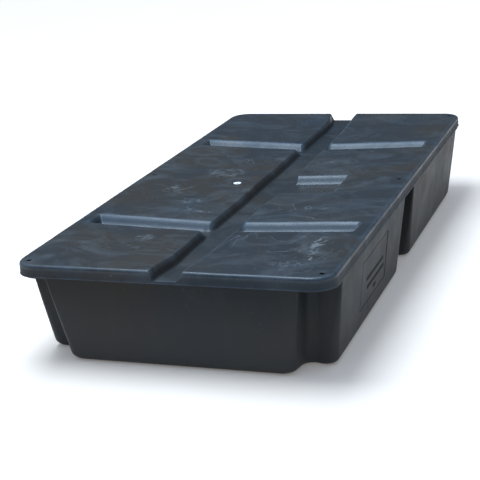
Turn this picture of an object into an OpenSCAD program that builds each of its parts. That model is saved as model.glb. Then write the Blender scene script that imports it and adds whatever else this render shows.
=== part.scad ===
// Spill containment pallet: a moulded deck on a hollow sump tub, with a rim gasket,
// inner support columns, a screwed deck port, a screwed sump drain and a label panel.
// Millimetres, +Z up. The origin is the middle of the underside, +Y along the length.

/* [Deck] */
// Width of the deck top along X
deck_w = 1200; // [1120:10:1300]
// Length of the deck top along Y
deck_l = 2400; // [2300:10:2600]
// Height of the deck's border above the ground
deck_top_z = 386; // [360:1:400]
// Plan radius of the deck's corners
corner_r = 85; // [60:1:100]
// Depth of the skirt, from the border down to the lip
skirt_h = 40; // [38:1:50]
// How far the lip stands out from the skirt
lip_out = 2; // [2:0.5:6]
// Thickness of the lip and of the deck's base flange
lip_h = 8; // [6:0.5:10]
// Moulded sheet thickness of the deck and the tub
sheet = 8; // [6:0.5:9]
// How far the pads fall from the border to the channel
pad_fall = 18; // [10:1:20]
// Width of the level border outside the pads
border_w = 55; // [50:1:60]

/* [Channel and grooves] */
// Width of the long channel at the top
channel_top_w = 142; // [130:2:150]
// Width of the long channel's floor
channel_floor_w = 82; // [70:2:90]
// Distance of the cross grooves from the middle of the deck
groove_y = 615; // [600:5:640]
// Width of a cross groove at the top
groove_top_w = 148; // [130:2:160]
// Width of a cross groove's floor
groove_floor_w = 52; // [40:2:60]
// How far a groove's closed end slants
groove_end_run = 32; // [20:2:40]
// The pocket's near and far ends along Y
pocket_y = [-192, 58];
// How far the pocket reaches from the middle of the deck
pocket_x = 328; // [300:2:340]
// Width of the ledge on the pocket's far side
pocket_ledge = 34; // [20:1:40]

/* [Tub] */
// Draft of the long walls, run over rise
side_draft = 0.129; // [0.12:0.001:0.14]
// Draft of the short walls, run over rise
end_draft = 0.091; // [0.08:0.001:0.1]
// Draft of the notch faces, run over rise
notch_draft = 0.079; // [0.07:0.001:0.09]
// How far the short walls are set in under the lip
end_inset = 14; // [8:1:16]
// Corner notch, measured under the lip along X and Y
corner_notch = [121, 117];
// Middle notch's width, measured under the lip
mid_notch_w = 168; // [150:2:180]
// Middle notch's depth, measured under the lip
mid_notch_d = 110; // [100:2:120]
// Radius along the bottom edges
base_r = 36; // [20:1:40]
// Thickness of the tub's rim flange
rim_h = 7.7; // [7.2:0.1:8.2]
// How far the rim flange reaches in from the wall
rim_in = 40; // [34:1:44]

/* [Bolt holes] */
// Radius of a bolt hole
bolt_r = 9; // [7:0.5:10]
// Spacing of the corner bolts along X and Y
bolt_span = [1106, 2290];
// Outer radius of the pillar around each bolt hole
pillar_r = 20; // [18:1:22]

/* [Support columns] */
// Distance of the columns from the middle along X
column_x = 308; // [290:2:320]
// Distances of the columns from the middle along Y
column_ys = [-905, -275, 275, 905];
// Outer radius of a column
column_r = 55; // [45:1:58]
// Wall of a column
column_wall = 5; // [4:0.5:7]
// Thickness of a column's closed top
cap_t = 6; // [4:0.5:8]
// Width of a weep slot at a column's foot
weep_w = 24; // [16:1:30]
// Wall of the ring around a column's foot
seat_wall = 6; // [4:0.5:8]
// Height of the ring around a column's foot
seat_h = 24; // [16:1:30]

/* [Screw plugs] */
// Place of the deck port in plan
port_xy = [-146, -46];
// Place of the drain along X, and its height
drain_xz = [-250, 54];
// Radius of an insert's outside
insert_r = 29; // [28:0.5:31]
// Radius of a plug's head
head_r = 20.5; // [19:0.5:21]
// Radius of a plug's threaded shank
shank_r = 15.95; // [15:0.01:15.95]
// Length of an insert
insert_len = 34; // [30:1:38]
// Depth of the recess that the head sits in
head_recess = 9; // [8:0.5:10]

/* [Label] */
// Width and height of the label panel
label_size = [394, 192];
// Middle of the panel along Y, and its lower edge's height
label_at = [-565, 92];

/* [Hidden] */
$fn = 96;
gap = 0.3;
half_w = deck_w / 2;
half_l = deck_l / 2;
lip_z = deck_top_z - skirt_h;
joint_z = lip_z - lip_h;
rim_top_z = joint_z - gap;
floor_z = sheet;
channel_floor_z = lip_z - pad_fall;
pad_edge_z = deck_top_z - pad_fall;
pad_half_w = half_w - border_w;
end_border = 50;
end_slope = 150;
over = 20;
arc_steps = 6;
mid_bolt_x = 556;
shank_gap = 0.05;
seal_t = 2.5;
wedge_slope = pad_fall / (pad_half_w - channel_top_w / 2);
port_z = deck_top_z - wedge_slope * (pad_half_w - abs(port_xy[0])) - 5;
column_top_z = deck_top_z - wedge_slope * (pad_half_w - column_x + column_r) - sheet - gap;
label_draft = atan(side_draft);
columns = [for (x = [-column_x, column_x], y = column_ys) [x, y]];
column_names = [for (i = [1:len(columns)]) str("support_column_", i)];

// Colours of the moulded parts and the fittings
black_pe = [0.20, 0.22, 0.24];
deep_black = [0.10, 0.11, 0.12];
white_pe = [0.92, 0.94, 0.96];
pipe_grey = [0.45, 0.47, 0.50];
rubber = [0.06, 0.06, 0.07];

// ---- Helpers ----

// Extrudes a profile drawn in X and Z along Y, centred.
module along_y(len) {
    rotate([90, 0, 0]) linear_extrude(len, center = true) children();
}

// Extrudes a profile drawn in Y and Z along X, centred.
module along_x(len) {
    rotate([90, 0, 90]) linear_extrude(len, center = true) children();
}

// Repeats its children in all four quadrants.
module four_ways() {
    for (sx = [0, 1], sy = [0, 1]) {
        mirror([sx, 0, 0]) mirror([0, sy, 0]) children();
    }
}

// Rectangle with round corners.
module round_rect(w, l, r) {
    square([w - 2 * r, l], center = true);
    square([w, l - 2 * r], center = true);
    for (x = [-w / 2 + r, w / 2 - r], y = [-l / 2 + r, l / 2 - r]) {
        translate([x, y]) circle(r);
    }
}

// Points of the arc that blends a floor at z0 into a wall of the given draft.
function foot_arc(half, draft, z0, r) =
    let (cx = half + draft * r - r * sqrt(1 + draft * draft), sweep = 90 - atan(draft))
    [for (i = [0:arc_steps]) let (a = -90 + sweep * i / arc_steps) [cx + r * cos(a), z0 + r + r * sin(a)]];

// Upright drafted profile: half is its half-width at z0.
module drafted_profile(half, draft, z0, z1, r) {
    foot = foot_arc(half, draft, z0, r);
    top = half + draft * (z1 - z0);
    left = [for (i = [len(foot) - 1:-1:0]) [-foot[i][0], foot[i][1]]];
    polygon(concat(foot, [[top, z1], [-top, z1]], left));
}

// ---- Tub ----

// Half-width of a tub wall at height z, for a wall that is set in and drafted.
function wall_at(half, inset, draft, z) = half - inset - draft * (lip_z - z);

// The tub's drafted block, shrunk by t on every wall.
module tub_block(t) {
    side = wall_at(half_w, 0, side_draft, t) - t;
    end = wall_at(half_l, end_inset, end_draft, t) - t;
    intersection() {
        along_y(deck_l) drafted_profile(side, side_draft, t, lip_z, base_r - t);
        along_x(deck_w + over) drafted_profile(end, end_draft, t, lip_z, base_r - t);
    }
}

// Half-open profile that lies outside a drafted face at distance half under the lip.
module notch_face(half) {
    low = half - notch_draft * (lip_z + over);
    high = half + notch_draft * over;
    polygon([[low, -over], [high, lip_z + over], [deck_l, lip_z + over], [deck_l, -over]]);
}

// Profile of the middle notch, which widens downwards.
module notch_gap(half) {
    low = half + notch_draft * (lip_z + over);
    high = half - notch_draft * over;
    polygon([[-low, -over], [low, -over], [high, lip_z + over], [-high, lip_z + over]]);
}

// The six notches, grown by t.
module tub_notches(t) {
    four_ways() {
        intersection() {
            along_y(2 * deck_l) notch_face(half_w - corner_notch[0] - t);
            along_x(2 * deck_l) notch_face(half_l - end_inset - corner_notch[1] - t);
        }
    }
    for (side = [0, 1]) {
        mirror([side, 0, 0]) intersection() {
            along_y(2 * deck_l) notch_face(half_w - mid_notch_d - t);
            along_x(2 * deck_l) notch_gap(mid_notch_w / 2 + t);
        }
    }
}

// Plan of the tub under its rim, set in by m all round the notches.
module rim_plan(m) {
    w = half_w - m;
    l = half_l - end_inset - m;
    difference() {
        square([2 * w, 2 * l], center = true);
        four_ways() {
            translate([half_w - corner_notch[0] - m, half_l - end_inset - corner_notch[1] - m])
                square(deck_w);
        }
        for (side = [0, 1]) {
            mirror([side, 0]) translate([half_w - mid_notch_d - m, -mid_notch_w / 2 - m])
                square([deck_w, mid_notch_w + 2 * m]);
        }
    }
}

// The six bolt axes.
module at_bolts() {
    four_ways() translate([bolt_span[0] / 2, bolt_span[1] / 2, 0]) children();
    for (side = [0, 1]) {
        mirror([side, 0, 0]) translate([mid_bolt_x, 0, 0]) children();
    }
}

// Two crossed bars that cut four gaps, w wide and h high, through a ring on the axis.
module four_gaps(w, h) {
    for (a = [0, 90]) {
        rotate([0, 0, a]) translate([0, 0, h / 2]) cube([2 * column_r + 40, w, h], center = true);
    }
}

// Ring around each column's foot, moulded into the floor, with gaps for the weep slots.
module column_seat() {
    difference() {
        cylinder(r = column_r + seat_wall, h = seat_h);
        translate([0, 0, -1]) cylinder(r = column_r + 0.5, h = seat_h + 2);
        translate([0, 0, 1]) four_gaps(weep_w + 6, seat_h);
    }
}

// Places its children on the drain's axis, pointing outwards.
module at_drain() {
    translate([drain_xz[0], drain_face_y(), drain_xz[1]]) rotate([-90, 0, 0]) children();
}

function drain_face_y() = wall_at(half_l, end_inset, end_draft, drain_xz[1]) + 7;

// Places its children on the label panel's outer face, with +Z outwards.
module at_label() {
    x = wall_at(half_w, 0, side_draft, label_at[1]);
    translate([x, label_at[0], label_at[1]]) rotate([0, label_draft, 0]) rotate([90, 0, 90]) children();
}

module sump_tub() {
    color(black_pe) difference() {
        union() {
            difference() {
                tub_block(0);
                tub_notches(0);
                difference() {
                    tub_block(sheet);
                    tub_notches(sheet);
                }
                translate([-deck_w, -deck_l, rim_top_z - 1]) cube([2 * deck_w, 2 * deck_l, 100]);
            }
            translate([0, 0, rim_top_z - rim_h]) linear_extrude(rim_h) difference() {
                round_rect(deck_w, deck_l, corner_r);
                rim_plan(rim_in);
            }
            for (c = columns) {
                translate([c[0], c[1], floor_z - 1]) column_seat();
            }
            at_drain() translate([0, 0, -insert_len]) cylinder(r = insert_r + 13, h = insert_len);
        }
        at_bolts() translate([0, 0, rim_top_z - rim_h - 1]) cylinder(r = bolt_r, h = rim_h + 2);
        translate([0, 0, rim_top_z - 4]) linear_extrude(5) gasket_plan(0);
        at_drain() translate([0, 0, -insert_len - 10]) cylinder(r = insert_r, h = insert_len + 20);
        at_label() translate([0, 0, -4]) linear_extrude(20) translate([-label_size[0] / 2, 0])
            square(label_size);
    }
}

// ---- Gasket ----

// Plan of the gasket's track, thinner by c on both sides.
module gasket_plan(c) {
    difference() {
        rim_plan(12 + c);
        rim_plan(24 - c);
    }
}

module rim_gasket() {
    color(rubber) translate([0, 0, rim_top_z - 4]) linear_extrude(4) gasket_plan(gap);
}

// ---- Deck ----

// The long channel, open at both ends, grown by t.
module channel(t) {
    top = channel_top_w / 2 + t;
    low = channel_floor_w / 2 + t;
    over_z = deck_top_z + over;
    grow = (top - low) / (deck_top_z - channel_floor_z) * over;
    run_out = half_l - end_border;
    run_in = run_out - end_slope;
    intersection() {
        along_y(2 * deck_l) polygon([
            [-low, channel_floor_z - t], [low, channel_floor_z - t],
            [top + grow, over_z], [-top - grow, over_z]
        ]);
        along_x(deck_w) polygon([
            [-run_in, channel_floor_z - t], [run_in, channel_floor_z - t],
            [run_out, lip_z - t], [deck_l, lip_z - t], [deck_l, over_z],
            [-deck_l, over_z], [-deck_l, lip_z - t], [-run_out, lip_z - t]
        ]);
    }
}

// One cross groove on the +X side, closed at its outer end, grown by t.
module groove(t) {
    top = groove_top_w / 2 + t;
    low = groove_floor_w / 2 + t;
    end = pad_half_w + t;
    over_z = deck_top_z + over;
    grow = (top - low) / (deck_top_z - channel_floor_z) * over;
    intersection() {
        along_x(deck_l) polygon([
            [-low, channel_floor_z - t], [low, channel_floor_z - t],
            [top + grow, over_z], [-top - grow, over_z]
        ]);
        along_y(deck_l) polygon([
            [0, channel_floor_z - t], [channel_top_w / 2, channel_floor_z - t],
            [end - groove_end_run, lip_z - t], [end, deck_top_z], [end, over_z], [0, over_z]
        ]);
    }
}

// The pocket beside the channel, with a ledge along its far side, grown by t.
module pocket(t) {
    mid = (pocket_y[0] + pocket_y[1]) / 2;
    half = (pocket_y[1] - pocket_y[0]) / 2 + t;
    depth = deck_top_z - channel_floor_z;
    over_z = deck_top_z + over;
    intersection() {
        translate([0, mid, 0]) along_x(deck_l) polygon([
            [-half + 0.3 * depth, channel_floor_z - t],
            [half - pocket_ledge - 0.2 * depth, channel_floor_z - t],
            [half - pocket_ledge, pad_edge_z - 0.4 * depth - t],
            [half - 0.2 * depth, pad_edge_z - 0.4 * depth - t],
            [half, over_z], [-half, over_z]
        ]);
        along_y(deck_l) polygon([
            [0, channel_floor_z - t], [pocket_x + t - 0.5 * depth, channel_floor_z - t],
            [pocket_x + t, over_z], [0, over_z]
        ]);
    }
}

// The fall of the pads towards the channel, lowered by t.
module pad_slopes(t) {
    over_z = deck_top_z + over;
    run_out = half_l - end_border;
    run_in = run_out - end_slope;
    edge = channel_top_w / 2;
    intersection() {
        along_y(2 * deck_l) polygon([
            [-edge, pad_edge_z - t], [edge, pad_edge_z - t], [pad_half_w, deck_top_z - t],
            [pad_half_w, over_z], [-pad_half_w, over_z], [-pad_half_w, deck_top_z - t]
        ]);
        along_x(deck_w) polygon([
            [-run_in, pad_edge_z - t], [run_in, pad_edge_z - t], [run_out, deck_top_z - t],
            [run_out, over_z], [-run_out, over_z], [-run_out, deck_top_z - t]
        ]);
    }
}

// Everything pressed into the deck's top, grown by t for the underside of the sheet.
module recesses(t) {
    channel(t);
    four_ways() translate([0, groove_y, 0]) groove(t);
    pocket(t);
    pad_slopes(t);
}

// Shallow round dish that drains to the port.
module port_dish() {
    translate([port_xy[0], port_xy[1], port_z]) cylinder(r1 = head_r + 8, r2 = 96, h = 12);
}

module deck() {
    color(black_pe) difference() {
        union() {
            difference() {
                union() {
                    translate([0, 0, joint_z]) linear_extrude(deck_top_z - joint_z)
                        round_rect(deck_w, deck_l, corner_r);
                    translate([0, 0, joint_z]) linear_extrude(lip_h)
                        round_rect(deck_w + 2 * lip_out, deck_l + 2 * lip_out, corner_r + lip_out);
                }
                difference() {
                    translate([0, 0, joint_z - 1]) linear_extrude(deck_top_z - sheet - joint_z + 1)
                        round_rect(deck_w - 2 * sheet, deck_l - 2 * sheet, corner_r - sheet);
                    recesses(sheet);
                    base_flange(joint_z - 2);
                }
            }
            // The pressed floors hang below the flange, so their sheet is added here.
            intersection() {
                recesses(sheet);
                translate([0, 0, channel_floor_z - sheet]) linear_extrude(pad_fall + sheet)
                    rim_plan(rim_in + sheet);
            }
            at_bolts() translate([0, 0, joint_z]) cylinder(r = pillar_r, h = skirt_h + lip_h - 1);
            translate([port_xy[0], port_xy[1], port_z - insert_len])
                cylinder(r = insert_r + 9, h = insert_len);
        }
        recesses(0);
        port_dish();
        at_bolts() translate([0, 0, joint_z - 1]) cylinder(r = bolt_r, h = skirt_h + lip_h + 2);
        translate([port_xy[0], port_xy[1], port_z - insert_len - 1]) cylinder(r = insert_r, h = 80);
    }
}

// Flat ring that the deck stands on, solid over the notches.
module base_flange(z0) {
    translate([0, 0, z0]) linear_extrude(lip_z - z0) difference() {
        square([2 * deck_w, 2 * deck_l], center = true);
        rim_plan(34);
    }
}

// ---- Columns ----

module support_column() {
    color(pipe_grey) translate([0, 0, floor_z]) difference() {
        cylinder(r = column_r, h = column_top_z - floor_z);
        translate([0, 0, -1]) cylinder(r = column_r - column_wall, h = column_top_z - floor_z - cap_t + 1);
        translate([0, 0, -1]) four_gaps(weep_w, 15);
    }
}

// ---- Screw fittings: each is drawn with its outer face at z = 0 ----

// Collar with a recess for the plug's head and seal.
module insert() {
    color(deep_black) translate([0, 0, -insert_len]) difference() {
        cylinder(r = insert_r, h = insert_len);
        translate([0, 0, -1]) cylinder(r = shank_r + shank_gap, h = insert_len);
        translate([0, 0, insert_len - head_recess]) cylinder(r = head_r + 2, h = head_recess + 1);
    }
}

// Flat ring under the plug's head.
module seal() {
    color(rubber) translate([0, 0, -head_recess]) difference() {
        cylinder(r = head_r + 1, h = seal_t);
        translate([0, 0, -1]) cylinder(r = shank_r + 0.6, h = seal_t + 2);
    }
}

// Head and shank of a plug, before its drive is cut or added.
module plug_blank() {
    translate([0, 0, -head_recess + seal_t + gap]) cylinder(r = head_r, h = head_recess - seal_t - gap);
    translate([0, 0, -insert_len + 3]) cylinder(r = shank_r, h = insert_len - 4);
}

module at_port() {
    translate([port_xy[0], port_xy[1], port_z]) children();
}

module port_insert() {
    at_port() insert();
}

module port_seal() {
    at_port() seal();
}

// White plug with a square key recess.
module port_plug() {
    color(white_pe) at_port() difference() {
        plug_blank();
        translate([-6, -6, -4]) cube([12, 12, 10]);
    }
}

module drain_insert() {
    at_drain() insert();
}

module drain_seal() {
    at_drain() seal();
}

// Black plug with a grip bar.
module drain_plug() {
    color(deep_black) at_drain() union() {
        plug_blank();
        translate([-16, -5, -1]) cube([32, 10, 15]);
    }
}

// ---- Label ----

// Blank panel with two raised lines and a short one, where a maker's text would be.
module label_panel() {
    color(deep_black) at_label() {
        translate([-label_size[0] / 2 + gap, gap, -4 + gap]) linear_extrude(3)
            square([label_size[0] - 2 * gap, label_size[1] - 2 * gap]);
        for (bar = [[-116, 94, 258], [-103, 56, 262], [0, 28, 38]]) {
            translate([bar[0], bar[1], -2]) cube([bar[2], 9, 2.5]);
        }
    }
}

sump_tub();
deck();
rim_gasket();
for (i = [0:len(columns) - 1]) {
    translate([columns[i][0], columns[i][1], 0]) support_column();
}
port_insert();
port_seal();
port_plug();
drain_insert();
drain_seal();
drain_plug();
label_panel();
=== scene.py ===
"""Looks of the spill containment pallet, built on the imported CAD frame.

Metres, with +Z up and +Y along the length."""

import math

import bmesh
import bpy
import numpy as np
from mathutils import Euler, Matrix, Vector
from mathutils.geometry import tessellate_polygon


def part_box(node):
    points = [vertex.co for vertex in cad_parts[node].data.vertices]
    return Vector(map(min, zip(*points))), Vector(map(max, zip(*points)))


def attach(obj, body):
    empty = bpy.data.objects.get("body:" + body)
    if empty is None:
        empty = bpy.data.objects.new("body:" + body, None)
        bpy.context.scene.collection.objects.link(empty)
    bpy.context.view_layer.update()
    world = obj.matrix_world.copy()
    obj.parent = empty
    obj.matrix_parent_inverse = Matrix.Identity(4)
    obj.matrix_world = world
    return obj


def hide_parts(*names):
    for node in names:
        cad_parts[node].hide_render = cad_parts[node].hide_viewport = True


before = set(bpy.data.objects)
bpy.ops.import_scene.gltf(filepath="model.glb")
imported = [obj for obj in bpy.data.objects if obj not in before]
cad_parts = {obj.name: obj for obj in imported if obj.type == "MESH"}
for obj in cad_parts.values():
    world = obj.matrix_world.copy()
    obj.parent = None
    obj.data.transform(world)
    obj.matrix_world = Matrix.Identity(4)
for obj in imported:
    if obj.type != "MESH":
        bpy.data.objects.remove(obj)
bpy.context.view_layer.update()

# ---------------------------------------------------------------- sizes, from the frame where it gives them

DECK_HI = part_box("deck")[1]
TUB_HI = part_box("sump_tub")[1]
PORT_LO, PORT_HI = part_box("port_insert")
DRAIN_LO, DRAIN_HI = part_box("drain_insert")

HALF_W = TUB_HI.x
HALF_L = TUB_HI.y
LIP_OUT = DECK_HI.x - HALF_W
TOP = DECK_HI.z
SHEET = 0.008
LIP_H = 0.008
RIM_TOP = TUB_HI.z
RIM_H = 0.0077
SEAM = 0.0003
JOINT_Z = RIM_TOP + SEAM
LIP_Z = JOINT_Z + LIP_H
CORNER_R = 0.085
CORNER_STEPS = 14
EDGE_R = 0.012

# Recesses of the deck. A run is a sloping wall's width in plan, and GROOVES has (middle, half width) in y.
CHANNEL_TOP, CHANNEL_RUN = 0.071, 0.030
LEFT_TOP, LEFT_RUN = 0.060, 0.024
GROOVES = ((-0.640, 0.061), (0.584, 0.058))
GROOVE_RUN = 0.046
GROOVE_END, GROOVE_END_RUN = 0.545, 0.032
POCKET_NEAR, POCKET_FAR = -0.188, 0.078
POCKET_END = 0.324
COMMON_RUN = 0.046
WALL_START, WALL_RUN, WALL_BLEND = 0.007, 0.029, 0.021
PRESS = TOP - LIP_Z - 0.0015
PAD_TOP = TOP - 0.0011
PAD_WAVE, PAD_WAVE_SPAN = 0.0008, 0.33
PAD_FALL = 0.018
DISH_R, DISH_RUN = 0.052, 0.022

# Tub walls, notches and rounded feet.
SIDE_DRAFT, END_DRAFT, NOTCH_DRAFT = 0.129, 0.091, 0.079
END_INSET = 0.014
NOTCH_X, NOTCH_Y = 0.121, 0.117
MID_NOTCH_HALF, MID_NOTCH_DEPTH = 0.084, 0.110
BASE_R, NOTCH_BASE_R = 0.036, 0.031
LOBE_LEAN = 0.026
TRACK_OUT, TRACK_IN, TRACK_DEPTH = 0.012, 0.024, 0.004

BOLT_R = 0.009
BOLTS = [(sx * 0.553, sy * 1.145) for sx in (-1, 1) for sy in (-1, 1)] + [(-0.556, 0.0), (0.556, 0.0)]
PORT = ((PORT_LO.x + PORT_HI.x) / 2, (PORT_LO.y + PORT_HI.y) / 2)
PORT_Z = PORT_HI.z
INSERT_R = (PORT_HI.x - PORT_LO.x) / 2
INSERT_LEN = PORT_HI.z - PORT_LO.z
DRAIN = ((DRAIN_LO.x + DRAIN_HI.x) / 2, DRAIN_HI.y, (DRAIN_LO.z + DRAIN_HI.z) / 2)
HEAD_R, SHANK_R, HEAD_RECESS, SEAL_T = 0.0205, 0.01595, 0.009, 0.0025
THREAD_LEAD, THREAD_DEPTH = 0.004, 0.0011
COLUMNS = [f"support_column_{i}" for i in range(1, 9)]
COLUMN_R, COLUMN_WALL, SEAT_WALL, SEAT_H = 0.055, 0.005, 0.006, 0.024
LABEL_Y, LABEL_Z = (-0.762, -0.368), (0.092, 0.284)

# Holes in the deck: centre, radius cut from its grid, pillar radius, bore radius, edge softening, lowest z.
DECK_HOLES = [(c, 0.0165, 0.0140, BOLT_R, 0.0015, JOINT_Z) for c in BOLTS]
DECK_HOLES += [(PORT, 0.044, 0.038, INSERT_R, 0.002, PORT_Z - INSERT_LEN)]

# ---------------------------------------------------------------- small maths


def ramp(u, run, blend):
    """0 before u = 0, 1 after u = run, with parabolic fillets blend wide at both ends."""
    def part(t):
        return 0.5 * np.maximum(t, 0) ** 2
    b = blend / 2
    return (part(u + b) - part(u - b) - part(u - run + b) + part(u - run - b)) / (blend * run)


def round_max(a, b, r):
    """max(a, b), with the corner where both pass zero rounded to radius r."""
    return np.minimum(-r, np.maximum(a, b)) + np.hypot(np.maximum(a + r, 0), np.maximum(b + r, 0))


def round_min(a, b, r):
    return -round_max(-a, -b, r)


def smooth(t):
    t = np.clip(t, 0, 1)
    return t * t * (3 - 2 * t)


def waves(x, y, scale, seed):
    """Gentle uneven moulding, from -1 to 1: a few crossed sines."""
    rng = np.random.RandomState(seed)
    total = 0.0
    for _ in range(7):
        angle, freq, phase = rng.uniform(0, math.pi), rng.uniform(0.6, 1.7), rng.uniform(0, 2 * math.pi)
        along = (x * math.cos(angle) + y * math.sin(angle)) / scale
        total = total + np.sin(along * freq * 2 * math.pi + phase)
    return total / 7


def stepped(lo, hi, coarse, zones):
    """Grid lines from lo to hi, coarse apart, and finer inside each zone (start, end, step)."""
    marks = sorted({lo, hi, *[m for z in zones for m in z[:2] if lo < m < hi]})
    out = [lo]
    for a, b in zip(marks, marks[1:]):
        steps = [z[2] for z in zones if z[0] <= (a + b) / 2 <= z[1]]
        count = max(1, math.ceil((b - a) / min([coarse] + steps) - 1e-6))
        out += [a + (b - a) * (i + 1) / count for i in range(count)]
    return np.array(out)


# ---------------------------------------------------------------- mesh helpers


def finish_mesh(bm, name, material, body, replaced, angle=35):
    """Turns a bmesh into a shaded piece that rides on a CAD body and stands for CAD nodes."""
    bmesh.ops.recalc_face_normals(bm, faces=bm.faces)
    mesh = bpy.data.meshes.new(name)
    bm.to_mesh(mesh)
    bm.free()
    obj = bpy.data.objects.new(name, mesh)
    bpy.context.collection.objects.link(obj)
    mesh.materials.append(material)
    for poly in mesh.polygons:
        poly.use_smooth = True
    mesh.set_sharp_from_angle(angle=math.radians(angle))
    obj.modifiers.new("normals", "WEIGHTED_NORMAL").keep_sharp = True
    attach(obj, body)
    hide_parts(*replaced)
    return obj


def bridge(bm, a, b):
    """Quads between two closed loops of the same length."""
    n = len(a)
    for i in range(n):
        j = (i + 1) % n
        bm.faces.new((a[i], a[j], b[j], b[i]))


def chain(bm, rings):
    """Quads between each closed loop and the next."""
    for a, b in zip(rings, rings[1:]):
        bridge(bm, a, b)


def loops(bm, rows):
    """Closed loops of vertices, each row a list of points, joined by quads. Returns the loops."""
    made = [[bm.verts.new(p) for p in row] for row in rows]
    chain(bm, made)
    return made


def plate(bm, outer, holes):
    """Flat triangles between an outer loop of vertices and holes, all in one plane."""
    rings = [outer] + holes
    verts = [v for ring in rings for v in ring]
    for tri in tessellate_polygon([[v.co for v in ring] for ring in rings]):
        bm.faces.new([verts[i] for i in tri])


def circle(centre, r, z, n):
    """Points of a level circle."""
    turns = [2 * math.pi * i / n for i in range(n)]
    return [(centre[0] + r * math.cos(a), centre[1] + r * math.sin(a), z) for a in turns]


def absorb(bm, part):
    """Adds another bmesh to bm, and frees it."""
    mesh = bpy.data.meshes.new("part")
    part.to_mesh(mesh)
    part.free()
    bm.from_mesh(mesh)
    bpy.data.meshes.remove(mesh)


def soft_block(centre, size, soft):
    """A block with rounded edges, as its own bmesh."""
    part = bmesh.new()
    bmesh.ops.create_cube(part, size=1)
    bmesh.ops.scale(part, vec=size, verts=part.verts)
    bmesh.ops.translate(part, vec=centre, verts=part.verts)
    bmesh.ops.bevel(part, geom=list(part.edges), offset=soft, segments=3, affect="EDGES", profile=0.5)
    return part


def lathe(bm, profile, n=64, closed=True):
    """Turns a profile of (radius, z) round Z. One that isn't closed starts and ends on the axis."""
    plan = [circle((0, 0), r, z, n) if r > 0 else [(0, 0, z)] for r, z in profile]
    rows = [[bm.verts.new(p) for p in ring] for ring in plan]
    pairs = list(zip(rows, rows[1:])) + ([(rows[-1], rows[0])] if closed else [])
    for a, b in pairs:
        for i in range(n):
            j = (i + 1) % n
            if len(a) == 1:
                bm.faces.new((a[0], b[j], b[i]))
            elif len(b) == 1:
                bm.faces.new((a[i], a[j], b[0]))
            else:
                bm.faces.new((a[i], a[j], b[j], b[i]))


def rounded_corner(profile, index, r, steps=4):
    """Replaces one corner of a profile with an arc."""
    p, q, s = [Vector(profile[i % len(profile)]) for i in (index - 1, index, index + 1)]
    a, b = (p - q).normalized(), (s - q).normalized()
    half = a.angle(b) / 2
    reach = r / math.tan(half)
    centre = q + (a + b).normalized() * (r / math.sin(half))
    start, end = q + a * reach - centre, q + b * reach - centre
    turn = start.angle_signed(end)
    arc = []
    for i in range(steps + 1):
        rot = Matrix.Rotation(-turn * i / steps, 2)
        arc.append(tuple(centre + rot @ start))
    return profile[:index] + arc + profile[index + 1:]


def soften(profile, radii):
    """Rounds corners of a profile, given as {index: radius}, last first so that the indexes hold."""
    for index in sorted(radii, reverse=True):
        profile = rounded_corner(profile, index, radii[index])
    return profile


# ---------------------------------------------------------------- deck


def left_edge(y):
    """How far left the left pads' edge stands: slightly bowed in the middle, and flared at the back end."""
    bow = 0.004 * smooth((0.54 - np.abs(y)) / 0.25)
    flare = 0.016 * smooth((y - 1.08) / 0.12)
    return LEFT_TOP - bow + flare


def right_edge(y):
    """How far right the right pads' edge stands: widest beside the pocket, and narrow at the back end."""
    growth = 0.008 * smooth((y + 1.1) / 0.4)
    narrowing = 0.012 * smooth((y - 0.6) / 0.5)
    return CHANNEL_TOP + growth - narrowing + 0.012 * by_pocket(y)


def by_pocket(y):
    """1 beside the pocket, where the channel's right wall is steep."""
    return smooth((0.32 - np.abs(y + 0.06)) / 0.20)


def pressed(x, y):
    """How far inside the recessed area a point is, in units where every wall is COMMON_RUN wide."""
    left = (x + left_edge(y)) * COMMON_RUN / LEFT_RUN
    right_run = CHANNEL_RUN * (1 - 0.55 * by_pocket(y))
    right = (right_edge(y) - x) * COMMON_RUN / right_run
    channel = np.minimum(left, right)
    wide = np.maximum(*[half - np.abs(y - mid) for mid, half in GROOVES]) * COMMON_RUN / GROOVE_RUN
    deep = (GROOVE_END - np.abs(x)) * COMMON_RUN / GROOVE_END_RUN
    groove = round_min(wide, deep, 0.020)
    mid, half = (POCKET_NEAR + POCKET_FAR) / 2, (POCKET_FAR - POCKET_NEAR) / 2
    along = (half - np.abs(y - mid)) * 1.15
    across = np.minimum(POCKET_END - x, x + 0.02) * 1.2
    pocket = round_min(along, across, 0.016)
    return round_max(round_max(channel, groove, 0.014), pocket, 0.010)


def sag(x, y):
    """How far the pads have fallen towards the channel."""
    across = 1 - ramp(np.abs(x) - CHANNEL_TOP, GROOVE_END - CHANNEL_TOP, 0.05)
    along = 1 - ramp(np.abs(y) - 0.98, 0.17, 0.06)
    return PAD_FALL * across * along


def deck_height(x, y):
    """Height of the deck's top surface, before its outer edge is rounded."""
    z = PAD_TOP + PAD_WAVE * waves(x, y, PAD_WAVE_SPAN, 4)
    z = z - sag(x, y)
    depth = PRESS * (0.86 + 0.14 * smooth((np.abs(y) - 0.80) / 0.30))
    z = z - depth * ramp(pressed(x, y) - WALL_START, WALL_RUN, WALL_BLEND)
    r = np.hypot(x - PORT[0], y - PORT[1])
    dish = 1 - smooth((r - DISH_R) / DISH_RUN)
    return z * (1 - dish) + (PORT_Z + 0.0004) * dish


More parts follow.
